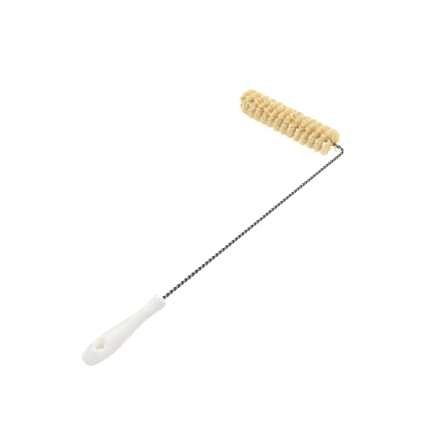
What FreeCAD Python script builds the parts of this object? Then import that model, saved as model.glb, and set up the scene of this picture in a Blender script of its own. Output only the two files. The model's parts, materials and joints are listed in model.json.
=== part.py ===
"""Fryer brush with an L-shaped stem.

Two steel wires are twisted together into a long stem. Near its end the stem
turns a right angle, opens to a longer twist and grips a sheet of bristles,
which the twist winds into a double spiral. The other end is held in the blind
bore of an oval plastic handle with a hang hole.

Brush axes, in which every piece is made: the origin is the corner where the
stem's axis meets the head's axis, +X runs along the stem away from the
handle, +Y runs along the head away from the stem, and Z is square to both.
The last section lays the finished brush on a level surface.
"""
import FreeCAD, Part
import Sketcher
import math
import os
from FreeCAD import Placement, Rotation, Vector

doc = FreeCAD.newDocument("fryer_brush")

# Driving dimensions, in millimetres and degrees
SIZES = [
    ("handle_length", 132.6, "front end to butt"),
    ("collar_width", 22.0, "round front end of the handle, which flares a little"),
    ("collar_rounding", 2.0, "rounded rim of the front end"),
    ("waist_width", 17.9, "thinnest round section of the grip"),
    ("waist_from_front", 25.0, "front end to the waist"),
    ("belly_width", 32.6, "width of the oval belly"),
    ("belly_depth", 21.4, "thickness of the oval belly"),
    ("belly_from_front", 97.0, "front end to the belly"),
    ("swell_lag", 1.2, "power that keeps the swell back, towards the belly"),
    ("butt_taper", 0.31, "share of its width that the butt loses before it rounds off"),
    ("butt_squareness", 5.0, "power of the butt's outline, 2 for an ellipse"),
    ("hang_hole_width", 11.0, "round hole through the grip"),
    ("hang_hole_from_butt", 26.3, "hole's axis to the end of the butt"),
    ("hang_hole_rounding", 3.0, "rounded rim of the hole on both faces"),
    ("wire_insert", 45.0, "length of wire held inside the handle"),
    ("bore_clearance", 0.1, "gap all round the wires in the handle's bore"),
    ("wire_width", 2.7, "diameter of one wire"),
    ("strand_gap", 0.07, "gap between the two wires"),
    ("stem_reach", 427.9, "handle's front end to the corner of the stem and head axes"),
    ("stem_lay", 14.0, "length of one full turn of the twist in the stem"),
    ("mouth_angle", 145.0, "side of the stem on which the first wire leaves the handle"),
    ("bend_radius", 12.5, "centre line of the bend"),
    ("head_start", 23.0, "stem's axis to the first bristles"),
    ("opening_run", 18.8, "length over which the twist opens before the first bristles"),
    ("bristle_run", 197.0, "first bristles to last bristles"),
    ("head_width", 52.5, "diameter over the bristle tips"),
    ("head_lay", 29.8, "length of one full turn of the twist in the head"),
    ("bristle_fan", 32.0, "angle that the bristles spread to each side"),
    ("sheet_thickness", 0.9, "sheet of bristles gripped between the wires"),
    ("sheet_gap", 0.08, "gap between the bristles and each wire"),
    ("wire_past_bristles", 2.5, "wire ends beyond the last bristles"),
    ("tip_give", 0.25, "how far the tips that carry the brush are pressed in"),
]
sheet = doc.addObject("Spreadsheet::Sheet", "sizes")
for row, (alias, value, note) in enumerate(SIZES, start=1):
    sheet.set(f"A{row}", alias.replace("_", " "))
    sheet.set(f"B{row}", str(value))
    sheet.set(f"C{row}", note)
    sheet.setAlias(f"B{row}", alias)
doc.recompute()

# Facets: sides of a section, and how far the twist turns from one section to the next
GRIP_SIDES = 32
WIRE_SIDES = 6
WIRE_STATION_ANGLE = 360.0 / 7
BRISTLE_STATION_ANGLE = 26.0


def size(alias):
    """A driving dimension as a number."""
    return float(sheet.get(alias))


def chord_radius(inner_radius):
    """Radius at which the chords of a stepped helix stay outside inner_radius."""
    return inner_radius / math.cos(math.radians(WIRE_STATION_ANGLE / 2))


wire_radius = size("wire_width") / 2
head_radius = size("head_width") / 2
stem_strand_radius = chord_radius(wire_radius + size("strand_gap") / 2)
head_strand_radius = chord_radius(wire_radius + size("sheet_thickness") / 2 + size("sheet_gap"))

# Runs along the stem's centre line, measured from the handle's front end
bend_run = size("stem_reach") - size("bend_radius")
bend_length = size("bend_radius") * math.pi / 2
bristle_start_run = bend_run + bend_length + size("head_start") - size("bend_radius")
opening_start_run = bristle_start_run - size("opening_run")
bristle_end_run = bristle_start_run + size("bristle_run")
wire_end_run = bristle_end_run + size("wire_past_bristles")


def flat_face(corners):
    """A flat face through its corners."""
    return Part.Face(Part.makePolygon(corners + corners[:1]))


def skinned_solid(outlines):
    """A solid through outlines of like-numbered corners, with flat triangles between them."""
    faces = [flat_face(outlines[0]), flat_face(outlines[-1])]
    for near, far in zip(outlines, outlines[1:]):
        for corner in range(len(near)):
            after = (corner + 1) % len(near)
            faces.append(flat_face([near[corner], near[after], far[after]]))
            faces.append(flat_face([near[corner], far[after], far[corner]]))
    shell = Part.makeShell(faces)
    shell.sewShape()
    return Part.makeSolid(shell)


# Handle: an oval grip skinned over its sections, with a hang hole and a blind bore
COLLAR_TURNS = (0, 30, 60, 90)
WAIST_STEPS = 3
SWELL_STEPS = 7
BUTT_TURNS = (3, 16, 34, 52, 68, 80)


def smooth_step(share):
    """An S-shaped blend from 0 to 1, level at both ends."""
    return share * share * (3 - 2 * share)


def grip_section(behind, width, depth):
    """An oval outline across the grip, at a distance behind its front end."""
    corners = []
    for side in range(GRIP_SIDES):
        turn = 2 * math.pi * side / GRIP_SIDES
        corners.append(Vector(-behind, width / 2 * math.cos(turn), depth / 2 * math.sin(turn)))
    return corners


def collar_sections():
    """Round outlines from the rounded front rim back to the waist."""
    rim = size("collar_rounding")
    length = size("waist_from_front") - rim
    narrowing = size("collar_width") - size("waist_width")
    sections = []
    for turn in COLLAR_TURNS:
        behind = rim * (1 - math.cos(math.radians(turn)))
        width = size("collar_width") - 2 * rim * (1 - math.sin(math.radians(turn)))
        sections.append(grip_section(behind, width, width))
    for step in range(1, WAIST_STEPS + 1):
        width = size("collar_width") - narrowing * smooth_step(step / WAIST_STEPS)
        sections.append(grip_section(rim + length * step / WAIST_STEPS, width, width))
    return sections


def swell_sections():
    """Outlines that grow from the round waist into the oval belly."""
    waist = size("waist_width")
    length = size("belly_from_front") - size("waist_from_front")
    sections = []
    for step in range(1, SWELL_STEPS + 1):
        share = step / SWELL_STEPS
        grown = smooth_step(share ** size("swell_lag"))
        width = waist + (size("belly_width") - waist) * grown
        depth = waist + (size("belly_depth") - waist) * grown
        sections.append(grip_section(size("waist_from_front") + length * share, width, depth))
    return sections


def butt_sections():
    """Outlines that narrow from the belly and close round to the small flat end of the butt."""
    power = 2 / size("butt_squareness")
    length = size("handle_length") - size("belly_from_front")
    whole = math.sin(math.radians(BUTT_TURNS[-1])) ** power
    sections = []
    for turn in BUTT_TURNS:
        along = math.sin(math.radians(turn)) ** power / whole
        narrowed = 1 - size("butt_taper") * along**2
        across = narrowed * math.cos(math.radians(turn)) ** power
        behind = size("belly_from_front") + length * along
        sections.append(grip_section(behind, size("belly_width") * across, size("belly_depth") * across))
    return sections


HOLE_PLACE = "sizes.handle_length - sizes.hang_hole_from_butt"
RIM_LEVEL = "sizes.belly_depth / 2 - sizes.hang_hole_rounding"


def origin_plane(body, role):
    """One of the body's own origin planes."""
    return next(item for item in body.Origin.OriginFeatures if item.Role == role)


def flat_sketch(body, label, role):
    """An empty sketch on one of the body's origin planes."""
    sketch = body.newObject("Sketcher::SketchObject", label)
    sketch.AttachmentSupport = (origin_plane(body, role), [""])
    sketch.MapMode = "FlatFace"
    return sketch


def bind(sketch, constraint, expression):
    """Add a dimension to a sketch and bind it to an expression."""
    number = sketch.addConstraint(constraint)
    sketch.setExpression(f"Constraints[{number}]", expression)


def round_outline(sketch, diameter, distance="0"):
    """A circle on the sketch's horizontal axis, a distance before the origin."""
    sketch.addGeometry(Part.Circle(Vector(-10, 0, 0), Vector(0, 0, 1), 5))
    sketch.addConstraint(Sketcher.Constraint("PointOnObject", 0, 3, -1))
    bind(sketch, Sketcher.Constraint("DistanceX", 0, 3, -1, 1, 10), distance)
    bind(sketch, Sketcher.Constraint("Diameter", 0, 10), diameter)


def rim_outline(sketch):
    """The hole's axis, and what rounds its upper rim: three chords of a quarter arc and a corner."""
    axis, wall, top, side, arc, low_chord, middle_chord, high_chord = range(8)
    hole_x = size("hang_hole_from_butt") - size("handle_length")
    rounding = size("hang_hole_rounding")
    above = size("belly_depth")
    level = above / 2 - rounding
    low = Vector(hole_x + size("hang_hole_width") / 2, level, 0)
    centre = low + Vector(rounding, 0, 0)
    places = [centre + Vector(-math.cos(turn), math.sin(turn), 0) * rounding
              for turn in (0, math.pi / 6, math.pi / 3, math.pi / 2)]
    high = Vector(low.x, above, 0)
    outer_high = Vector(centre.x, above, 0)
    sketch.addGeometry(Part.LineSegment(Vector(hole_x, 0, 0), Vector(hole_x, above, 0)), True)
    for start, end in ((low, high), (high, outer_high), (outer_high, places[3])):
        sketch.addGeometry(Part.LineSegment(start, end))
    circle = Part.Circle(centre, Vector(0, 0, 1), rounding)
    sketch.addGeometry(Part.ArcOfCircle(circle, math.pi / 2, math.pi), True)
    for start, end in zip(places, places[1:]):
        sketch.addGeometry(Part.LineSegment(start, end))
    joined = (
        ((wall, 2), (top, 1)), ((top, 2), (side, 1)), ((side, 2), (arc, 1)), ((arc, 2), (wall, 1)),
        ((low_chord, 1), (wall, 1)), ((low_chord, 2), (middle_chord, 1)),
        ((middle_chord, 2), (high_chord, 1)), ((high_chord, 2), (side, 2)),
    )
    for first, second in joined:
        sketch.addConstraint(Sketcher.Constraint("Coincident", *first, *second))
    for line in (axis, wall, side):
        sketch.addConstraint(Sketcher.Constraint("Vertical", line))
    sketch.addConstraint(Sketcher.Constraint("Horizontal", top))
    sketch.addConstraint(Sketcher.Constraint("Vertical", arc, 3, side, 2))
    sketch.addConstraint(Sketcher.Constraint("Horizontal", arc, 3, wall, 1))
    sketch.addConstraint(Sketcher.Constraint("PointOnObject", axis, 1, -1))
    sketch.addConstraint(Sketcher.Constraint("PointOnObject", middle_chord, 1, arc))
    sketch.addConstraint(Sketcher.Constraint("PointOnObject", middle_chord, 2, arc))
    sketch.addConstraint(Sketcher.Constraint("Equal", low_chord, middle_chord))
    sketch.addConstraint(Sketcher.Constraint("Equal", middle_chord, high_chord))
    bind(sketch, Sketcher.Constraint("DistanceX", axis, 1, -1, 1, -hole_x), HOLE_PLACE)
    bind(sketch, Sketcher.Constraint("DistanceY", axis, 1, axis, 2, above), "sizes.belly_depth")
    bind(sketch, Sketcher.Constraint("DistanceX", axis, 1, wall, 1, 6), "sizes.hang_hole_width / 2")
    bind(sketch, Sketcher.Constraint("Radius", arc, rounding), "sizes.hang_hole_rounding")
    bind(sketch, Sketcher.Constraint("DistanceY", axis, 1, wall, 1, level), RIM_LEVEL)
    bind(sketch, Sketcher.Constraint("DistanceY", axis, 1, wall, 2, above), "sizes.belly_depth")


def make_handle():
    """The moulded handle, with its front end at the body's origin and its butt towards -X."""
    blank = doc.addObject("Part::Feature", "grip_blank")
    blank.Shape = skinned_solid(collar_sections() + swell_sections() + butt_sections())
    body = doc.addObject("PartDesign::Body", "handle")
    body.Label = "handle"
    body.BaseFeature = blank

    hole_sketch = flat_sketch(body, "hang_hole_outline", "XY_Plane")
    round_outline(hole_sketch, "sizes.hang_hole_width", HOLE_PLACE)
    hole = body.newObject("PartDesign::Pocket", "hang_hole")
    hole.Profile = hole_sketch
    hole.Type = "ThroughAll"
    hole.Midplane = True

    rim_sketch = flat_sketch(body, "hang_hole_rim_outline", "XZ_Plane")
    rim_outline(rim_sketch)
    rim = body.newObject("PartDesign::Groove", "hang_hole_rim")
    rim.Profile = rim_sketch
    rim.ReferenceAxis = (rim_sketch, ["Axis0"])
    rim.Angle = 360
    other_rim = body.newObject("PartDesign::Mirrored", "other_hang_hole_rim")
    other_rim.Originals = [rim]
    other_rim.MirrorPlane = (origin_plane(body, "XY_Plane"), [""])
    body.Tip = other_rim

    bore_sketch = flat_sketch(body, "wire_bore_outline", "YZ_Plane")
    strand_circle = f"(sizes.wire_width + sizes.strand_gap) / cos({WIRE_STATION_ANGLE / 2} deg)"
    round_outline(bore_sketch, f"{strand_circle} + sizes.wire_width + 2 * sizes.bore_clearance")
    bore = body.newObject("PartDesign::Pocket", "wire_bore")
    bore.Profile = bore_sketch
    bore_length = "sizes.wire_insert + sizes.wire_width / 2 + sizes.bore_clearance"
    bore.setExpression("Length", bore_length)
    doc.recompute()
    return body


# Stem: the shared centre line, the twist about it, and the two wires
def spine(run):
    """Point and side direction of the centre line, at a run past the handle's front end."""
    past_straight = run - bend_run
    radius = size("bend_radius")
    if past_straight <= 0:
        return Vector(run - size("stem_reach"), 0, 0), Vector(0, 1, 0)
    if past_straight >= bend_length:
        return Vector(0, radius + past_straight - bend_length, 0), Vector(-1, 0, 0)
    turn = past_straight / radius
    point = Vector(radius * (math.sin(turn) - 1), radius * (1 - math.cos(turn)), 0)
    return point, Vector(-math.sin(turn), math.cos(turn), 0)


def opening(run):
    """How far the twist has opened from the stem's lay to the head's lay, from 0 to 1."""
    share = (run - opening_start_run) / size("opening_run")
    return min(max(share, 0.0), 1.0)


def twist(run):
    """Angle of the first wire about the centre line: a left-hand twist, in degrees."""
    stem_rate = 360.0 / size("stem_lay")
    head_rate = 360.0 / size("head_lay")
    stem_part = min(run, opening_start_run)
    head_part = max(run - bristle_start_run, 0.0)
    opened = opening(run)
    opening_part = size("opening_run") * (stem_rate * opened + (head_rate - stem_rate) * opened**2 / 2)
    return size("mouth_angle") - stem_rate * stem_part - opening_part - head_rate * head_part


def about_spine(run, angle, radius):
    """A point at an angle and radius about the centre line."""
    centre, side = spine(run)
    turn = math.radians(angle)
    return centre + side * (radius * math.cos(turn)) + Vector(0, 0, radius * math.sin(turn))


def stations(start, end, lay, step_angle):
    """Even runs from start to end, with no step turning the twist further than step_angle."""
    steps = math.ceil((end - start) * 360.0 / lay / step_angle)
    return [start + (end - start) * step / steps for step in range(steps + 1)]


def wire_runs():
    """Stations of the wires, from their ends in the handle to their ends past the bristles."""
    stem = stations(-size("wire_insert"), bend_run, size("stem_lay"), WIRE_STATION_ANGLE)
    turn = stations(bend_run, bristle_start_run, size("stem_lay"), WIRE_STATION_ANGLE)
    head = stations(bristle_start_run, wire_end_run, size("head_lay"), WIRE_STATION_ANGLE)
    return stem + turn[1:] + head[1:]


def make_wire(label, start_angle):
    """One wire: a many-sided rod swept with mitred joints along its stepped helix."""
    path = []
    for run in wire_runs():
        widening = (head_strand_radius - stem_strand_radius) * opening(run)
        path.append(about_spine(run, twist(run) + start_angle, stem_strand_radius + widening))
    heading = (path[1] - path[0]).normalize()
    end_face = Part.makeCircle(wire_radius, path[0], heading)
    corners = end_face.discretize(WIRE_SIDES + 1)
    profile = Part.makePolygon(corners[:-1] + corners[:1])
    mitred = 1
    wire = doc.addObject("Part::Feature", label)
    wire.Label = label
    wire.Shape = Part.makePolygon(path).makePipeShell([profile], True, False, mitred)
    return wire


# Head: the gripped sheet of bristles, fanned out on both sides and wound by the twist
def bristle_section(run):
    """The bristles' outline across the head: a thin waist between two rounded fans."""
    across = twist(run) + 90.0
    half_sheet = size("sheet_thickness") / 2
    root_reach = wire_radius + size("sheet_gap")
    root = math.degrees(math.atan2(half_sheet, root_reach))
    root_radius = math.hypot(half_sheet, root_reach)
    fan = size("bristle_fan")
    outline = []
    for middle in (across, across + 180.0):
        outline.append(about_spine(run, middle - root, root_radius))
        for spread in (-fan, 0.0, fan):
            outline.append(about_spine(run, middle + spread, head_radius))
        outline.append(about_spine(run, middle + root, root_radius))
        outline.append(about_spine(run, middle + 90.0, half_sheet))
    return outline


def wind_bristles(label):
    """The wound bristles as one solid."""
    runs = stations(bristle_start_run, bristle_end_run, size("head_lay"), BRISTLE_STATION_ANGLE)
    bristles = doc.addObject("Part::Feature", label)
    bristles.Label = label
    bristles.Shape = skinned_solid([bristle_section(run) for run in runs])
    return bristles


handle = make_handle()
wire_a = make_wire("wire_a", 0.0)
wire_b = make_wire("wire_b", 180.0)
wound_bristles = wind_bristles("wound_bristles")


# Rest: the brush lies with its bristles and the belly of its handle on the surface
def rest_tilt():
    """Angle, in degrees, by which the stem comes down from the head to the handle."""
    tilts = []
    for point in handle.Shape.tessellate(0.05)[0]:
        behind = size("stem_reach") - point.x
        below = -point.z
        contact = math.asin((head_radius - size("tip_give")) / math.hypot(behind, below))
        tilts.append(contact - math.atan2(below, behind))
    return math.degrees(min(tilts))


def press_flat(label, bristles, tilt):
    """The bristles with the flat that the surface presses into their tips."""
    surface = doc.addObject("Part::Box", "surface_under_bristles")
    surface.setExpression("Length", "sizes.head_width")
    surface.setExpression("Width", "sizes.bristle_run + 2 * sizes.tip_give")
    surface.setExpression("Height", "sizes.head_width")
    level = size("tip_give") - head_radius - size("head_width")
    near_end = size("head_start") - size("tip_give")
    level_base = Placement(Vector(-head_radius, near_end, level), Rotation())
    surface.Placement = Placement(Vector(), Rotation(Vector(0, 1, 0), tilt)) * level_base
    pressed = doc.addObject("Part::Cut", label)
    pressed.Label = label
    pressed.Base = bristles
    pressed.Tool = surface
    doc.recompute()
    return pressed


def brush_box(pieces):
    """The box round all the pieces, from their facets."""
    box = FreeCAD.BoundBox()
    for piece in pieces:
        for point in piece.Shape.tessellate(0.05)[0]:
            box.add(point)
    return box


handle_front = Placement(Vector(-size("stem_reach"), 0, 0), Rotation())
tilt = rest_tilt()
bristles = press_flat("bristles", wound_bristles, tilt)
pieces = [handle, wire_a, wire_b, bristles]
tilted = Placement(Vector(0, 0, 0), Rotation(Vector(0, 1, 0), -tilt))
for piece in pieces:
    piece.Placement = tilted
handle.Placement = tilted * handle_front
box = brush_box(pieces)
rest = Placement(Vector(-box.Center.x, -box.Center.y, -box.ZMin), Rotation())
for piece in pieces:
    piece.Placement = rest * piece.Placement
doc.recompute()

# Check every object, then write one file for each piece
for item in doc.Objects:
    if "Invalid" in item.State or "Error" in item.State:
        raise RuntimeError(f"{item.Label} did not recompute: {item.State}")
os.makedirs("parts", exist_ok=True)
for piece in pieces:
    shape = piece.Shape
    if shape.isNull() or not shape.isValid() or len(shape.Solids) != 1:
        raise RuntimeError(f"{piece.Label} is not one valid solid")
for piece in pieces:
    piece.Shape.exportStep(f"parts/{piece.Label}.step")
    print(f"{piece.Label}: {piece.Shape.Volume:.0f} mm3, {len(piece.Shape.Faces)} faces")
box = brush_box(pieces)
print(f"box {box.XLength:.1f} x {box.YLength:.1f} x {box.ZLength:.1f} mm, tilt {tilt:.2f} degrees")
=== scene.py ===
# %% [markdown]
# A fryer brush, piece by piece.
#
# The brush has three kinds of piece: a white moulded handle, two steel wires
# that are twisted together, and the bristles that the twist grips. The lesson
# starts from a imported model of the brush, whose pieces already have their
# places and sizes, and makes each piece again with the detail that shows.
# Lengths are in metres, as everywhere in Blender.

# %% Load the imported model
import json
import math
import random
import bmesh
import bpy
from mathutils import Matrix, Vector


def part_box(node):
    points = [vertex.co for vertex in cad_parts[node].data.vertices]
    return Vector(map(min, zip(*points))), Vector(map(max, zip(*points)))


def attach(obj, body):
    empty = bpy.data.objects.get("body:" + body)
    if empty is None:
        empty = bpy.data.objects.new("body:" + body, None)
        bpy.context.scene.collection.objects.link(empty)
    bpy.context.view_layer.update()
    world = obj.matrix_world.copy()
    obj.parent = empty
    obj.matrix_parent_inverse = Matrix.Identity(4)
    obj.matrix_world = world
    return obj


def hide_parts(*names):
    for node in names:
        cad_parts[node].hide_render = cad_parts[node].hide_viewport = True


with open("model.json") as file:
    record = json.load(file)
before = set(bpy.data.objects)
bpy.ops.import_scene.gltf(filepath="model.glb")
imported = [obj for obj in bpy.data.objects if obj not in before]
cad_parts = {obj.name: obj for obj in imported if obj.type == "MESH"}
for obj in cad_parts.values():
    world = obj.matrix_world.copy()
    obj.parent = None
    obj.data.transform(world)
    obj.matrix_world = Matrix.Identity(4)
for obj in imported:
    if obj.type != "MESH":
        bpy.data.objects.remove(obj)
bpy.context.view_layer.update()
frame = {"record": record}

# %% [markdown]
# The brush lies on its bristles and on the belly of its handle, so its stem
# slopes a little. It is easier to model in axes of its own: the origin is the
# corner where the stem's axis meets the head's axis, X runs along the stem
# away from the handle, Y runs along the head, and Z is square to both. One
# matrix lays whatever is made there into the model's place. It is found from
# the model itself: the hang hole's axis gives the slope, and the box round the
# bristles gives the head's axis.

# %% Axes of the brush
MM = 0.001
HEAD_RADIUS = 26.25 * MM
HEAD_START = 23.0 * MM
HANDLE_LENGTH = 132.6 * MM
STEM_REACH = 427.9 * MM
HANG_HOLE_FROM_BUTT = 26.3 * MM

head_low, head_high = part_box("bristles")
hang_hole = frame["record"]["mounts"][0]
slope = math.asin(-hang_hole["axis"][0])
corner = Vector(((head_low.x + head_high.x) / 2, head_low.y - HEAD_START, head_high.z - HEAD_RADIUS))
LAID = Matrix.Translation(corner) @ Matrix.Rotation(-slope, 4, "Y")

hole_behind = HANDLE_LENGTH - HANG_HOLE_FROM_BUTT
hole_centre = LAID @ Vector((-STEM_REACH - hole_behind, 0, 0))
miss = (hole_centre - Vector(hang_hole["pos_m"])).length
print(f"slope {math.degrees(slope):.2f} degrees, hang hole {miss / MM:.3f} mm from the model's")

# %% [markdown]
# The picture is taken from above and from the handle's side, by a camera that
# looks about 45 degrees down. Its place and its angles are given in the
# brush's own axes, so that it sees the same picture however the brush lies. A
# camera looks along its own -Z, so a level one is tipped up by 90 degrees
# first, and the rest of the tip is the look down.

# %% Camera
CAMERA_PLACE = Vector((-774.4, -437.6, 703.5)) * MM
LOOK_DOWN = 44.59
HEADING = 43.90
ROLL = -1.32
LENS_MM = 55.117
SENSOR_MM = 36.0


def new_object(name, data):
    """A new object in the scene, for a mesh, a curve, a lamp or a camera."""
    made = bpy.data.objects.new(name, data)
    bpy.context.scene.collection.objects.link(made)
    return made


camera_data = bpy.data.cameras.new("camera")
camera_data.sensor_width = SENSOR_MM
camera_data.lens = LENS_MM
camera = new_object("camera", camera_data)
turned = Matrix.Rotation(math.radians(HEADING - 90), 4, "Z")
tipped = Matrix.Rotation(math.radians(90 - LOOK_DOWN), 4, "X")
rolled = Matrix.Rotation(math.radians(ROLL), 4, "Z")
camera.matrix_world = LAID @ Matrix.Translation(CAMERA_PLACE) @ turned @ tipped @ rolled
bpy.context.scene.camera = camera
print(f"camera {CAMERA_PLACE.length:.2f} m from the corner of the brush")

# %% [markdown]
# Shader maths reads best as arithmetic. A small class wraps an output socket
# and adds a Math node for each operator, so a mask can be written as
# `(distance - start) / width`. The Paint class holds the nodes of a material
# or a world, makes a node from its type, its settings and its inputs, and
# feeds the shader that is already there. Colours never pass through Math
# nodes, which would turn them grey.

# %% Shader arithmetic
class Signal:
    """An output socket that can be used in sums."""

    def __init__(self, paint, socket):
        self.paint = paint
        self.socket = socket

    def math(self, operation, *values):
        return self.paint.add("ShaderNodeMath", {"operation": operation}, *values)

    def __add__(self, other):
        return self.math("ADD", self, other)

    def __radd__(self, other):
        return self.math("ADD", other, self)

    def __sub__(self, other):
        return self.math("SUBTRACT", self, other)

    def __rsub__(self, other):
        return self.math("SUBTRACT", other, self)

    def __mul__(self, other):
        return self.math("MULTIPLY", self, other)

    def __rmul__(self, other):
        return self.math("MULTIPLY", other, self)

    def __truediv__(self, other):
        return self.math("DIVIDE", self, other)

    def __pow__(self, other):
        return self.math("POWER", self, other)

    def clamped(self):
        """The signal held between 0 and 1."""
        return self.paint.add("ShaderNodeClamp", {}, self)

    def beside(self, output):
        """Another output of the node that gives this signal."""
        return Signal(self.paint, self.socket.node.outputs[output])


class Paint:
    """The nodes of a material or a world, added one by one to its own shader."""

    def __init__(self, owner, shader="Principled BSDF"):
        owner.use_nodes = True
        self.owner = owner
        self.nodes = owner.node_tree.nodes
        self.links = owner.node_tree.links
        self.shader = self.nodes[shader]

    def feed(self, socket, value):
        """Link a signal to a socket, or set the socket's own number or colour."""
        if isinstance(value, Signal):
            self.links.new(value.socket, socket)
        else:
            socket.default_value = value

    def add(self, kind, settings, *values, output=0, **named):
        """A node of a kind, with its settings made first and then its inputs fed."""
        node = self.nodes.new(kind)
        for setting, value in settings.items():
            if setting == "stops":
                ramp = node.color_ramp
                while len(ramp.elements) < len(value):
                    ramp.elements.new(0.5)
                for element, (place, colour) in zip(ramp.elements, value):
                    element.position = place
                    element.color = (*colour, 1)
            else:
                setattr(node, setting, value)
        for socket, value in zip(node.inputs, values):
            self.feed(socket, value)
        for name, value in named.items():
            self.feed(node.inputs[name.replace("_", " ")], value)
        return Signal(self, node.outputs[output])

    def set(self, **named):
        """Feed the main shader's sockets, with underscores for the blanks in their names."""
        for name, value in named.items():
            self.feed(self.shader.inputs[name.replace("_", " ")], value)

    def object_place(self):
        return self.add("ShaderNodeTexCoord", {}, output="Object")

    def parts(self, vector):
        """The X of a vector. Its Y and Z are beside it."""
        return self.add("ShaderNodeSeparateXYZ", {}, vector)

    def noise(self, vector, scale, detail, roughness=0.5):
        sockets = {"Vector": vector, "Scale": scale, "Detail": detail, "Roughness": roughness}
        return self.add("ShaderNodeTexNoise", {}, **sockets)

    def ramp(self, signal, stops):
        return self.add("ShaderNodeValToRGB", {"stops": stops}, signal)

    def bump(self, height, distance, strength):
        return self.add("ShaderNodeBump", {}, Height=height, Distance=distance, Strength=strength)


# %% [markdown]
# The handle is moulded plastic: off-white, a little warm, with a soft sheen.
# Real plastic is never one flat colour. A broad noise moves the tone by a few
# percent, a fine one breaks up the gloss, and a very shallow bump gives the
# surface the slight unevenness of a moulded skin. Light also goes some way
# into white plastic and comes out again, which softens its shadows. That is
# the shader's subsurface part. The hang hole's wall, up to the rounded rim, is
# painted paler and creamier: painted light, which lifts the shade in the hole.

# %% Moulded plastic
PAINTED_HOLE_LIGHT_END = 7.2 * MM
PAINTED_HOLE_LIGHT_BLEND = 1.5 * MM


def moulded_plastic():
    paint = Paint(bpy.data.materials.new("moulded_plastic"))
    place = paint.object_place()
    cloud = paint.noise(place, scale=45.0, detail=3.0)
    grain = paint.noise(place, scale=900.0, detail=4.0, roughness=0.6)
    place_x = paint.parts(place)
    along = place_x - hole_centre.x
    sideways = place_x.beside("Y") - hole_centre.y
    from_hole = (along ** 2.0 + sideways ** 2.0) ** 0.5
    # Painted light: the hang hole's wall and rim are painted paler and creamier, to lift the shade inside
    # the hole.
    painted_light_in_hole = ((PAINTED_HOLE_LIGHT_END - from_hole) / PAINTED_HOLE_LIGHT_BLEND).clamped()
    stops = [
        (0.25, (0.75, 0.735, 0.71)),
        (0.50, (0.79, 0.78, 0.76)),
        (1.00, (1.0, 0.98, 0.92)),
    ]
    paint.set(
        Base_Color=paint.ramp(0.75 * cloud + 0.6 * painted_light_in_hole, stops),
        Roughness=0.30 + 0.16 * grain,
        Normal=paint.bump(grain + 2.0 * cloud, distance=0.06 * MM, strength=0.35),
        IOR=1.5,
        Subsurface_Weight=1.0,
        Subsurface_Radius=(1.0, 0.95, 0.88),
        Subsurface_Scale=8.0 * MM,
    )
    return paint.owner


plastic = moulded_plastic()
print("moulded plastic:", len(plastic.node_tree.nodes), "nodes")

# %% [markdown]
# The wire is galvanised steel, drawn and then dulled by use. Zinc has a patchy
# grey with patches a millimetre or two across, and duller patches scatter
# light more, so one noise drives both the tone and the roughness. The crests
# of the twist are painted bright, a painted highlight, and the grooves between
# the wires are painted dark, a painted shade. The wires' own attribute `crest`
# tells the two apart: in the stem it runs from 0 on the centre line to 1 at the
# furthest point of a wire.

# %% Galvanised wire
PATCH_TONE = 0.25


def galvanised_steel():
    paint = Paint(bpy.data.materials.new("galvanised_steel"))
    place = paint.object_place()
    patches = paint.noise(place, scale=520.0, detail=3.0, roughness=0.6)
    specks = paint.noise(place, scale=2600.0, detail=2.0)
    crest = paint.add("ShaderNodeAttribute", {"attribute_name": "crest"}, output="Fac")
    # Painted highlight on the crests and painted shade in the grooves, with the zinc's own patchy tone
    # added.
    painted_crest_light_and_patches = crest + PATCH_TONE * (patches - 0.5)
    paint.set(
        Base_Color=paint.ramp(painted_crest_light_and_patches, [(0.74, (0.08, 0.08, 0.085)), (0.98, (0.30, 0.30, 0.305))]),
        Metallic=1.0,
        Roughness=0.20 + 0.18 * patches,
        Normal=paint.bump(specks + patches, distance=0.03 * MM, strength=0.5),
    )
    return paint.owner


steel = galvanised_steel()
print("galvanised steel:", len(steel.node_tree.nodes), "nodes")

# %% [markdown]
# Each bristle is a stiff straw-coloured strand that pales towards its cut tip.
# Deep in the brush, towards the wires, it is painted golden brown: painted
# shade, for the shade that falls among the strands there. The distance from
# the head's axis drives that ramp. The head's axis is level, so the distance
# needs only the X and Z of the place. Every strand also gets its own tone:
# Random Per Island gives each loose piece of a mesh one number. One noise moves
# the tone from tuft to tuft, and a finer one along each fibre.

# %% Straw bristle
STRAND_TONE = 0.25
TUFT_TONE = 0.5
FIBRE_TONE = 0.10


def straw_bristle():
    paint = Paint(bpy.data.materials.new("straw_bristle"))
    place = paint.object_place()
    place_x = paint.parts(place)
    across = place_x - corner.x
    above = place_x.beside("Z") - corner.z
    reach = (across ** 2.0 + above ** 2.0) ** 0.5 / HEAD_RADIUS
    strand = paint.add("ShaderNodeNewGeometry", {}, output="Random Per Island")
    fibre = paint.noise(place, scale=1500.0, detail=2.0)
    tuft = paint.noise(place, scale=240.0, detail=1.0)
    # Painted shade: darker and browner towards the wires, deep in the head; the rest is each strand's,
    # tuft's and fibre's own tone.
    painted_depth_shade_and_tone = reach + STRAND_TONE * (strand - 0.5) + TUFT_TONE * (tuft - 0.5) + FIBRE_TONE * (fibre - 0.5)
    stops = [
        (0.05, (0.80, 0.57, 0.25)),
        (0.35, (0.993, 0.86, 0.50)),
        (0.65, (0.993, 0.93, 0.66)),
        (0.95, (1.0, 0.965, 0.80)),
    ]
    paint.set(
        Base_Color=paint.ramp(painted_depth_shade_and_tone.clamped(), stops),
        Roughness=0.42 + 0.2 * fibre,
        Specular_IOR_Level=0.2,
    )
    return paint.owner


straw = straw_bristle()
print("straw bristle:", len(straw.node_tree.nodes), "nodes")

# %% [markdown]
# Every new piece ends the same way. Its mesh is laid into the model's place,
# so that its object can stay at the origin, unturned. Then it gets its
# material, and two calls tie it to the imported model: which body it moves
# with, and which node it stands for, whose imported mesh is hidden.

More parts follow.
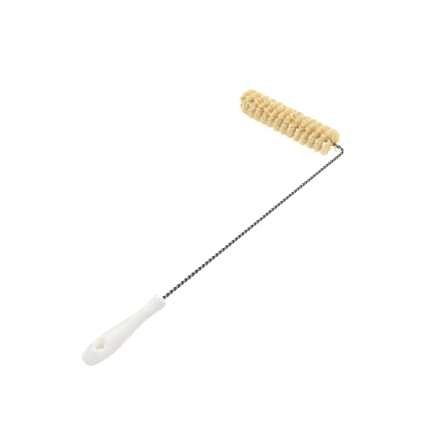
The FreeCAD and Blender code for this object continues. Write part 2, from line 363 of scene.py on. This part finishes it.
# %% Finishing a piece
def finish_piece(name, mesh, material, node, smooth=True):
    mesh.name = name
    mesh.transform(LAID)
    mesh.materials.clear()
    mesh.materials.append(material)
    if smooth:
        mesh.shade_smooth()
    else:
        mesh.shade_flat()
    piece = new_object(name, mesh)
    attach(piece, "root")
    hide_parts(node)
    triangles = sum(len(face.vertices) - 2 for face in mesh.polygons)
    print(f"{name}: {triangles} triangles")


# %% [markdown]
# The handle has the form of a long drop: round and slender where the stem goes
# in, swelling to an oval belly, and closing in a blunt butt. Its front end
# flares a little into a collar. All of this is one function of the distance
# behind the front end, which the cage and the hang hole then both follow.

# %% Handle: its sizes along the way
COLLAR_WIDTH = 22.0 * MM
WAIST_WIDTH = 17.9 * MM
WAIST_AT = 25.0 * MM
BELLY_WIDTH = 32.6 * MM
BELLY_DEPTH = 21.4 * MM
BELLY_AT = 97.0 * MM
SWELL_LAG = 1.2
BUTT_TAPER = 0.31
BUTT_SQUARENESS = 5.0


def smooth_step(share):
    return share * share * (3 - 2 * share)


def grip_size(behind):
    """The grip's width and depth at a distance behind its front end."""
    if behind <= WAIST_AT:
        width = COLLAR_WIDTH + (WAIST_WIDTH - COLLAR_WIDTH) * smooth_step(behind / WAIST_AT)
        return width, width
    if behind <= BELLY_AT:
        grown = smooth_step(((behind - WAIST_AT) / (BELLY_AT - WAIST_AT)) ** SWELL_LAG)
        width = WAIST_WIDTH + (BELLY_WIDTH - WAIST_WIDTH) * grown
        depth = WAIST_WIDTH + (BELLY_DEPTH - WAIST_WIDTH) * grown
        return width, depth
    share = min((behind - BELLY_AT) / (HANDLE_LENGTH - BELLY_AT), 1.0)
    across = (1 - BUTT_TAPER * share ** 2) * (1 - share ** BUTT_SQUARENESS) ** (1 / BUTT_SQUARENESS)
    return BELLY_WIDTH * across, BELLY_DEPTH * across


hole_width, hole_depth = grip_size(hole_behind)
print(f"grip at the hang hole: {hole_width / MM:.1f} x {hole_depth / MM:.1f} mm")

# %% [markdown]
# Such a form suits a subdivision cage, a coarse mesh of four-sided faces that
# the Subdivision Surface modifier rounds. The cage is one ring of sixteen
# corners, pushed along the handle and resized at each step, from the blind end
# of the wire bore out of the mouth, over the rim and on to the butt. The rings
# stand close together where the form has an edge, and far apart where it runs
# on smoothly.
#
# A smoothed ring shrinks. For a ring of n corners the factor is
# (2 + cos(360 / n)) / 3, so the cage is drawn larger by that much.

# %% Handle: the cage of rings
WIRE_RADIUS = 1.6 * MM
WIRE_INSERT = 45.0 * MM
BORE_PLAY = 0.15 * MM
BORE_END_ROOM = 1.0 * MM
BORE_RADIUS = 2 * WIRE_RADIUS + BORE_PLAY
BORE_DEPTH = WIRE_INSERT + BORE_END_ROOM
COLLAR_ROUNDING = 2.0 * MM
RING_SIDES = 16
# Rings in the bore as shares of its depth, on the flat front end as shares of
# the bore's width and then of the flat's, round the collar's edge as shares of
# the turn, and along the grip in millimetres behind its front end.
BORE_RINGS = (0.97, 0.6, 0.2, 0.02)
MOUTH_RINGS = (1.05, 1.4)
FLAT_RINGS = (0.7, 1.0)
COLLAR_RINGS = (0.30, 0.65)
GRIP_RINGS = (3, 7, 13, 19, 25, 33, 42, 52, 62, 72, 81, 89, 95.5, 101.7, 106.3, 110.9)
BUTT_RINGS = (117.5, 122, 126, 129, 131, 132.2)


def shrink(sides):
    """How much a smoothed ring is smaller than its cage."""
    return (2 + math.cos(2 * math.pi / sides)) / 3


def next_ring(cage, ring, behind, width, depth):
    """Push a ring of edges on to its next place, leaving a band of faces behind it."""
    made = bmesh.ops.extrude_edge_only(cage, edges=ring["edges"])["geom"]
    corners = [part for part in made if isinstance(part, bmesh.types.BMVert)]
    edges = [part for part in made if isinstance(part, bmesh.types.BMEdge)]
    bmesh.ops.translate(cage, vec=(ring["behind"], 0, 0), verts=corners)
    bmesh.ops.scale(cage, vec=(1, width / ring["width"], depth / ring["depth"]), verts=corners)
    bmesh.ops.translate(cage, vec=(-behind, 0, 0), verts=corners)
    return {"edges": edges, "behind": behind, "width": width, "depth": depth}


def handle_rings():
    """Places and sizes of the cage's rings, from the bore's blind end to the butt."""
    bore_width = 2 * BORE_RADIUS
    flat_end = COLLAR_WIDTH - 2 * COLLAR_ROUNDING
    rings = [(BORE_DEPTH * share, bore_width, bore_width) for share in BORE_RINGS]
    rings += [(0.0, bore_width * share, bore_width * share) for share in MOUTH_RINGS]
    rings += [(0.0, flat_end * share, flat_end * share) for share in FLAT_RINGS]
    for turn in COLLAR_RINGS:
        narrower = 2 * COLLAR_ROUNDING * (1 - turn) ** 2
        width, depth = grip_size(COLLAR_ROUNDING * turn)
        rings.append((COLLAR_ROUNDING * turn ** 2, width - narrower, depth - narrower))
    rings += [(behind * MM, *grip_size(behind * MM)) for behind in GRIP_RINGS + BUTT_RINGS]
    return rings


def make_cage():
    """The closed cage of the handle, without its hang hole."""
    cage = bmesh.new()
    start = bmesh.ops.create_circle(cage, segments=RING_SIDES, radius=BORE_RADIUS, cap_ends=True)
    upright = Matrix.Translation((-BORE_DEPTH, 0, 0)) @ Matrix.Rotation(math.pi / 2, 4, "Y")
    bmesh.ops.transform(cage, matrix=upright, verts=start["verts"])
    bore_width = 2 * BORE_RADIUS
    ring = {"edges": cage.edges[:], "behind": BORE_DEPTH, "width": bore_width, "depth": bore_width}
    larger = 1 / shrink(RING_SIDES)
    for behind, width, depth in handle_rings():
        ring = next_ring(cage, ring, behind, width * larger, depth * larger)
    bmesh.ops.contextual_create(cage, geom=ring["edges"])
    bmesh.ops.recalc_face_normals(cage, faces=cage.faces)
    return cage


cage = make_cage()
print("handle cage:", len(cage.faces), "faces before the hang hole")

# %% [markdown]
# The hang hole goes through the cage before it is smoothed. On each face the
# corner above the hole's axis is taken out with the four faces round it. The
# gap's eight corners are moved on to a circle, pushed down into the handle
# twice for the rounded rim and the wall, and the two walls are bridged.

# %% Handle: the hang hole
HOLE_SIDES = 8
HOLE_RADIUS = 5.5 * MM
RIM_REACH = 7.9 * MM
RIM_DEPTH = 2.3 * MM
RIM_FLARE = 1.03
WALL_DEPTH = 5.0 * MM


def surface_height(behind, sideways):
    """Height of the cage's upper surface above the grip's middle."""
    width, depth = grip_size(behind)
    middle_height = depth / 2 / shrink(RING_SIDES)
    return middle_height * math.sqrt(1 - (2 * sideways * shrink(RING_SIDES) / width) ** 2)


def round_off(rim, side, radius, depth):
    """Move a rim's corners on to a circle, on the surface where depth is 0, or so far below it."""
    step = 2 * math.pi / HOLE_SIDES
    for point in {point for edge in rim for point in edge.verts}:
        turn = round(math.atan2(point.co.y, point.co.x + hole_behind) / step) * step
        along = radius / shrink(HOLE_SIDES) * math.cos(turn)
        sideways = radius / shrink(HOLE_SIDES) * math.sin(turn)
        if depth:
            level = surface_height(hole_behind, HOLE_RADIUS) - depth
        else:
            level = surface_height(hole_behind - along, sideways)
        point.co = Vector((along - hole_behind, sideways, side * level))


def open_hole(cage, side):
    """Open one face of the grip round the hole's axis. Returns the edges of the wall's end."""
    above = Vector((-hole_behind, 0, side * surface_height(hole_behind, 0)))
    middle = min(cage.verts, key=lambda point: (point.co - above).length)
    before = {edge for edge in cage.edges if edge.is_boundary}
    bmesh.ops.delete(cage, geom=[middle], context="VERTS")
    rim = [edge for edge in cage.edges if edge.is_boundary and edge not in before]
    round_off(rim, side, RIM_REACH, 0)
    for depth, radius in ((RIM_DEPTH, HOLE_RADIUS * RIM_FLARE), (WALL_DEPTH, HOLE_RADIUS)):
        made = bmesh.ops.extrude_edge_only(cage, edges=rim)["geom"]
        rim = [part for part in made if isinstance(part, bmesh.types.BMEdge)]
        round_off(rim, side, radius, depth)
    return rim


upper_wall = open_hole(cage, 1)
lower_wall = open_hole(cage, -1)
bmesh.ops.bridge_loops(cage, edges=upper_wall + lower_wall)
bmesh.ops.recalc_face_normals(cage, faces=cage.faces)
bmesh.ops.translate(cage, vec=(-STEM_REACH, 0, 0), verts=cage.verts)
open_edges = sum(not edge.is_manifold for edge in cage.edges)
print("handle cage:", len(cage.faces), "faces,", open_edges, "open edges")

# %% [markdown]
# The modifier could stay on the piece, but its result is taken as a plain mesh
# here, so that it can be laid into place like every other mesh. The same small
# helper turns a curve into a mesh further on.

# %% Handle: smooth the cage and finish
SMOOTH_LEVELS = 3


def settled_mesh(holder):
    """The mesh that an object shows, with its modifiers or its bevel. The object goes."""
    shown = holder.evaluated_get(bpy.context.evaluated_depsgraph_get())
    mesh = bpy.data.meshes.new_from_object(shown)
    bpy.data.objects.remove(holder)
    return mesh


cage_mesh = bpy.data.meshes.new("handle_cage")
cage.to_mesh(cage_mesh)
cage.free()
cage_object = new_object("handle_cage", cage_mesh)
smoothing = cage_object.modifiers.new("smoothing", "SUBSURF")
smoothing.levels = SMOOTH_LEVELS
smoothing.render_levels = SMOOTH_LEVELS
finish_piece("grip", settled_mesh(cage_object), plastic, "handle")

# %% [markdown]
# The stem is one pair of wires for its whole length. Its centre line is
# straight, turns a right angle, and is straight again. The wires wind round it
# to the left, once in 14 mm along the stem. Just before the bristles the twist
# opens, because the bristles hold it apart, to once in 29.8 mm.
#
# `twist` adds up the turning along the way. A run is a distance along the
# centre line, from the handle's front end.

# %% The centre line and its twist
BEND_RADIUS = 12.5 * MM
OPENING_RUN = 18.8 * MM
BRISTLE_RUN = head_high.y - head_low.y
STEM_LAY = 14.0 * MM
HEAD_LAY = 29.8 * MM
MOUTH_ANGLE = 145.0

BEND_RUN = STEM_REACH - BEND_RADIUS
BEND_LENGTH = BEND_RADIUS * math.pi / 2
FIRST_BRISTLE = BEND_RUN + BEND_LENGTH + HEAD_START - BEND_RADIUS
OPENING_START = FIRST_BRISTLE - OPENING_RUN
LAST_BRISTLE = FIRST_BRISTLE + BRISTLE_RUN


def centre_line(run):
    """Point and side direction of the centre line."""
    past = run - BEND_RUN
    if past <= 0:
        return Vector((run - STEM_REACH, 0, 0)), Vector((0, 1, 0))
    if past >= BEND_LENGTH:
        return Vector((0, BEND_RADIUS + past - BEND_LENGTH, 0)), Vector((-1, 0, 0))
    turn = past / BEND_RADIUS
    point = Vector((BEND_RADIUS * (math.sin(turn) - 1), BEND_RADIUS * (1 - math.cos(turn)), 0))
    return point, Vector((-math.sin(turn), math.cos(turn), 0))


def opening(run):
    """How far the twist has opened, from 0 in the stem to 1 at the first bristle."""
    return min(max((run - OPENING_START) / OPENING_RUN, 0.0), 1.0)


def twist(run):
    """Angle of the first wire about the centre line, in degrees."""
    stem_rate = 360.0 / STEM_LAY
    head_rate = 360.0 / HEAD_LAY
    opened = opening(run)
    turned = stem_rate * min(run, OPENING_START) + head_rate * max(run - FIRST_BRISTLE, 0.0)
    turned += OPENING_RUN * (stem_rate * opened + (head_rate - stem_rate) * opened ** 2 / 2)
    return MOUTH_ANGLE - turned


def about_line(run, angle, radius):
    """A point at an angle and radius about the centre line."""
    point, side = centre_line(run)
    turn = math.radians(angle)
    return point + side * (radius * math.cos(turn)) + Vector((0, 0, radius * math.sin(turn)))


stem_turns = (twist(0.0) - twist(FIRST_BRISTLE)) / 360
head_turns = (twist(FIRST_BRISTLE) - twist(LAST_BRISTLE)) / 360
print(f"twist: {stem_turns:.1f} turns to the first bristle, {head_turns:.1f} in the head")

# %% [markdown]
# A wire is a round rod bent into a helix, and Blender's curves make that with
# a bevel: the curve is the rod's middle, and the bevel its thickness. The caps
# close its cut ends. Turned into a mesh, the caps are still loose, so double
# points are merged. The bristles are made with the same function further on,
# thousands in one mesh.

# %% Rods along a path
SAME_POINT = 1e-7


def rods_mesh(paths, radius, roundness):
    """Round rods along lists of (point, thickness), as one closed mesh."""
    curve = bpy.data.curves.new("rods", "CURVE")
    curve.dimensions = "3D"
    curve.bevel_depth = radius
    curve.bevel_resolution = roundness
    curve.use_fill_caps = True
    for path in paths:
        spline = curve.splines.new("POLY")
        spline.points.add(len(path) - 1)
        for place, (point, thickness) in zip(spline.points, path):
            place.co = (*point, 1)
            place.radius = thickness
    mesh = settled_mesh(new_object("rods", curve))
    closed = bmesh.new()
    closed.from_mesh(mesh)
    bmesh.ops.remove_doubles(closed, verts=closed.verts, dist=SAME_POINT)
    bmesh.ops.recalc_face_normals(closed, faces=closed.faces)
    closed.to_mesh(mesh)
    closed.free()
    return mesh


# %% [markdown]
# In the stem the two wires touch but for a hair's breadth. In the head they
# part, because the sheet of bristles lies between them. They are drawn 3.2 mm
# thick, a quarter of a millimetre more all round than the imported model's,
# because the stem in the picture looks that sturdy.

# %% Twisted wires
STRAND_GAP = 0.035 * MM
SHEET_HALF = 0.53 * MM
WIRE_PAST_BRISTLES = 2.35 * MM
STEPS_PER_TURN = 20
WIRE_ROUNDNESS = 4


def even_runs(start, end, lay):
    """Runs from start to end with a fixed number of steps to each turn."""
    steps = math.ceil((end - start) / lay * STEPS_PER_TURN)
    return [start + (end - start) * step / steps for step in range(steps)]


def wire_path(start_angle):
    """The middle of one wire, from its end in the handle to its end past the bristles."""
    wire_end = LAST_BRISTLE + WIRE_PAST_BRISTLES
    runs = even_runs(-WIRE_INSERT, BEND_RUN, STEM_LAY)
    runs += even_runs(BEND_RUN, FIRST_BRISTLE, STEM_LAY)
    runs += even_runs(FIRST_BRISTLE, wire_end, HEAD_LAY)
    runs.append(wire_end)
    path = []
    for run in runs:
        from_middle = WIRE_RADIUS + STRAND_GAP + (SHEET_HALF - STRAND_GAP) * opening(run)
        path.append((about_line(run, twist(run) + start_angle, from_middle), 1.0))
    return path


def from_centre_line(point):
    """Distance of a point from the centre line, straight or in its bend."""
    if point.x < -BEND_RADIUS:
        return math.hypot(point.y, point.z)
    if point.y > BEND_RADIUS:
        return math.hypot(point.x, point.z)
    from_bend_centre = math.hypot(point.x + BEND_RADIUS, point.y - BEND_RADIUS)
    return math.hypot(from_bend_centre - BEND_RADIUS, point.z)


def mark_crests(mesh):
    """Store how near each point is to a crest of the twist."""
    # The crest value is what the steel's painted highlight and painted shade follow.
    crest = mesh.attributes.new("crest", "FLOAT", "POINT")
    for number, point in enumerate(mesh.vertices):
        crest.data[number].value = from_centre_line(point.co) / (2 * WIRE_RADIUS + STRAND_GAP)


for name, start_angle in (("wire_a", 0.0), ("wire_b", 180.0)):
    mesh = rods_mesh([wire_path(start_angle)], WIRE_RADIUS, WIRE_ROUNDNESS)
    mark_crests(mesh)
    finish_piece("round_" + name, mesh, steel, name)

# %% [markdown]
# A twisted brush starts as two straight wires with a flat sheet of bristles
# laid across between them. The twist winds that sheet into a double spiral.
# The bristles stay nearly straight, and only their ends splay, so the pair of
# ridges is thin at the wires and wide at the tips.
#
# A strand is a rod of three points: its root in the sheet, a waist that bows a
# little, and its tip. A tip never goes below the floor or far past the head's
# ends. All chance comes from one seeded source, so that the brush is the same
# every time.

# %% Bristles: one strand
STRAND_RADIUS = 0.24 * MM
TIP_THICKNESS = 0.8
ROOT_REACH = 1.2 * MM
SHEET_GRIP = 0.40 * MM
WAIST_REACH = 0.55
WAIST_SPLAY = 0.93
WAIST_BOW = 0.25 * MM
PAST_END = 1.5 * MM
FLOOR_CLEARANCE = 0.3 * MM

chance = random.Random(5)


def tip_reach(run, angle, wanted):
    """The wanted reach of a strand, or less where its tip would go below the floor."""
    tip = LAID @ about_line(run, angle, wanted)
    if tip.z >= FLOOR_CLEARANCE:
        return wanted
    root = LAID @ about_line(run, angle, 0)
    return wanted * (root.z - FLOOR_CLEARANCE) / (root.z - tip.z)


def strand_path(run, middle, share, splay, tip_run, reach):
    """One strand: root, bowed waist and tip, each with its thickness."""
    sideways = (about_line(run, middle + 90, 1) - about_line(run, middle, 0)).normalized()
    root = about_line(run, middle, ROOT_REACH) + sideways * (SHEET_GRIP * share)
    tip_run = min(max(tip_run, FIRST_BRISTLE - PAST_END), LAST_BRISTLE + PAST_END)
    tip = about_line(tip_run, middle + splay, tip_reach(tip_run, middle + splay, reach))
    bow = Vector([chance.gauss(0, WAIST_BOW) for axis in range(3)])
    waist = about_line((run + tip_run) / 2, middle + WAIST_SPLAY * splay, reach * WAIST_REACH) + bow
    return [(root, 1.0), (waist, 1.0), (tip, TIP_THICKNESS)]


# %% [markdown]
# Bristles are not spread evenly: they come in tufts, whose strands start close
# together and lean the same way. So a tuft gets its own place, splay and lean,
# and each of its strands departs a little from that. Looseness is 0 in a tidy
# tuft, and makes it splay and lean more. A tuft at the edge of the fan has
# bent further over, so its tips reach less far.

# %% Bristles: one tuft
STRANDS_PER_TUFT = 10
TIDY_SPLAY = 4.0
LOOSE_SPLAY = 7.0
TIDY_LEAN = 0.8 * MM
LOOSE_LEAN = 1.3 * MM
EDGE_DROP = 0.09
TUFT_SHORTER = 0.05
STRAND_SPREAD = 0.6 * MM
STRAND_SPLAY = 2.5
STRAND_LEAN = 0.6 * MM
STRAND_SHORTER = 0.08


def tuft_paths(run, middle, fan, share, looseness):
    """The strands of one tuft."""
    splay = fan * share + chance.gauss(0, TIDY_SPLAY + LOOSE_SPLAY * looseness)
    lean = chance.gauss(0, TIDY_LEAN + LOOSE_LEAN * looseness)
    drop = TUFT_SHORTER * chance.random() ** 2 + EDGE_DROP * share ** 2
    reach = HEAD_RADIUS * (1 - drop) - STRAND_RADIUS
    paths = []
    for strand in range(STRANDS_PER_TUFT):
        own_run = run + chance.gauss(0, STRAND_SPREAD)
        own_run = min(max(own_run, FIRST_BRISTLE + STRAND_RADIUS), LAST_BRISTLE - STRAND_RADIUS)
        own_splay = splay + chance.gauss(0, STRAND_SPLAY)
        own_tip = own_run + lean + chance.gauss(0, STRAND_LEAN)
        own_reach = reach * (1 - STRAND_SHORTER * chance.random())
        paths.append(strand_path(own_run, middle, share, own_splay, own_tip, own_reach))
    return paths


# %% [markdown]
# The near end of the head is wound tidily, and its first millimetres are
# thinly filled. Towards the far end the tufts stand closer and lean more and
# more, and at the end itself the fan opens, so that the ridges run together in
# a full, round end.
#
# The strands are shaded flat. Each has only four sides, and smooth shading
# would turn its surface away from the light that falls on it. They are parted
# into six pieces along the head, so that no mesh grows too large.

# %% Bristles: along the head
TUFTS = 3000
FAN = 38.0
THIN_START = 2.5 * MM
END_CROWD = 0.08
FLARE_START = 0.85
END_FLARE = 0.5
END_LOOSENESS = 0.4
STRAND_ROUNDNESS = 0
BRISTLE_PIECES = 6


def bristle_strands(first_tuft, last_tuft):
    """Tufts along the head, closer together towards its far end."""
    paths = []
    for number in range(first_tuft, last_tuft):
        even = (number + chance.random()) / TUFTS
        along = even * (1 + END_CROWD * (1 - even))
        run = FIRST_BRISTLE + BRISTLE_RUN * along
        middle = twist(run) + 90.0 + 180.0 * chance.randrange(2)
        flare = max(0.0, (along - FLARE_START) / (1 - FLARE_START))
        fan = FAN * (1 + END_FLARE * flare)
        tuft = tuft_paths(run, middle, fan, chance.uniform(-1, 1), along + END_LOOSENESS * flare)
        if chance.random() * THIN_START < run - FIRST_BRISTLE:
            paths += tuft
    return paths


for number in range(BRISTLE_PIECES):
    first_tuft = TUFTS * number // BRISTLE_PIECES
    last_tuft = TUFTS * (number + 1) // BRISTLE_PIECES
    mesh = rods_mesh(bristle_strands(first_tuft, last_tuft), STRAND_RADIUS, STRAND_ROUNDNESS)
    finish_piece(f"strands_{number + 1}", mesh, straw, "bristles", smooth=False)

# %% [markdown]
# The brush lies on a plain white floor under soft light. The floor is lit as
# the brush is, so it holds its shadow. Rays from the camera, from gloss and
# through clear things see it brighter than it is, with some light of its own
# added, so that it runs into the white behind it. That light never reaches the
# brush.

# %% Floor
FLOOR_HALF = 6.0
FLOOR_TONE = 0.93
FLOOR_GLOW = 0.60


def seen_by_viewers(paint):
    """1 for rays from the camera, from gloss and through clear things, 0 for the rest."""
    from_camera = paint.add("ShaderNodeLightPath", {}, output="Is Camera Ray")
    from_gloss = from_camera.beside("Is Glossy Ray")
    through_clear = from_camera.beside("Is Transmission Ray")
    return (from_camera + from_gloss + through_clear).clamped()


floor_paint = Paint(bpy.data.materials.new("floor_white"))
floor_paint.set(Base_Color=(FLOOR_TONE, FLOOR_TONE, FLOOR_TONE, 1), Roughness=0.9, Specular_IOR_Level=0.1)
plain_floor = Signal(floor_paint, floor_paint.shader.outputs[0])
glow = floor_paint.add("ShaderNodeEmission", {}, Color=(1, 1, 1, 1), Strength=FLOOR_GLOW)
bright_floor = floor_paint.add("ShaderNodeAddShader", {}, plain_floor, glow)
viewers = seen_by_viewers(floor_paint)
surface = floor_paint.add("ShaderNodeMixShader", {}, viewers, plain_floor, bright_floor)
floor_paint.feed(floor_paint.nodes["Material Output"].inputs["Surface"], surface)

floor_form = bmesh.new()
bmesh.ops.create_grid(floor_form, x_segments=1, y_segments=1, size=FLOOR_HALF)
floor_mesh = bpy.data.meshes.new("floor")
floor_form.to_mesh(floor_mesh)
floor_form.free()
floor_mesh.materials.append(floor_paint.owner)
new_object("floor", floor_mesh)
print("floor:", 2 * FLOOR_HALF, "m square")

# %% [markdown]
# The light is that of a white tent: the world lights everything softly, a
# soft lamp high above the head gives the forms their bright side, and a larger
# and weaker one opens the side that faces away from it. The camera and the
# steel's gloss see the tent as pure white.
#
# Pale bristles pass light on among themselves many times before it comes out,
# and that is what makes them look pale. With Blender's usual four bounces the
# head would turn brown and grey, so the light may bounce more often here.

# %% World and lamps
WORLD_STRENGTH = 0.76
DIFFUSE_BOUNCES = 24
ALL_BOUNCES = 32

world = bpy.data.worlds.new("white_tent")
bpy.context.scene.world = world
tent = Paint(world, "Background")
brightness = tent.add("ShaderNodeMapRange", {}, seen_by_viewers(tent), To_Min=WORLD_STRENGTH, To_Max=1.0)
tent.set(Color=(1, 1, 1, 1), Strength=brightness)


def area_lamp(name, place, size, power):
    """A square soft lamp at a place, aimed at the middle of the brush's box."""
    lamp_data = bpy.data.lights.new(name, "AREA")
    lamp_data.size = size
    lamp_data.energy = power
    lamp = new_object(name, lamp_data)
    lamp.location = place
    lamp.rotation_euler = (-Vector(place)).to_track_quat("-Z", "Y").to_euler()
    print(f"{name} lamp: {power} W, {size} m wide")


area_lamp("key", place=(0.35, 0.65, 1.6), size=0.8, power=10.0)
area_lamp("fill", place=(0.4, -1.0, 1.2), size=1.2, power=3.2)
bpy.context.scene.view_settings.view_transform = "Standard"
bpy.context.scene.cycles.diffuse_bounces = DIFFUSE_BOUNCES
bpy.context.scene.cycles.max_bounces = ALL_BOUNCES
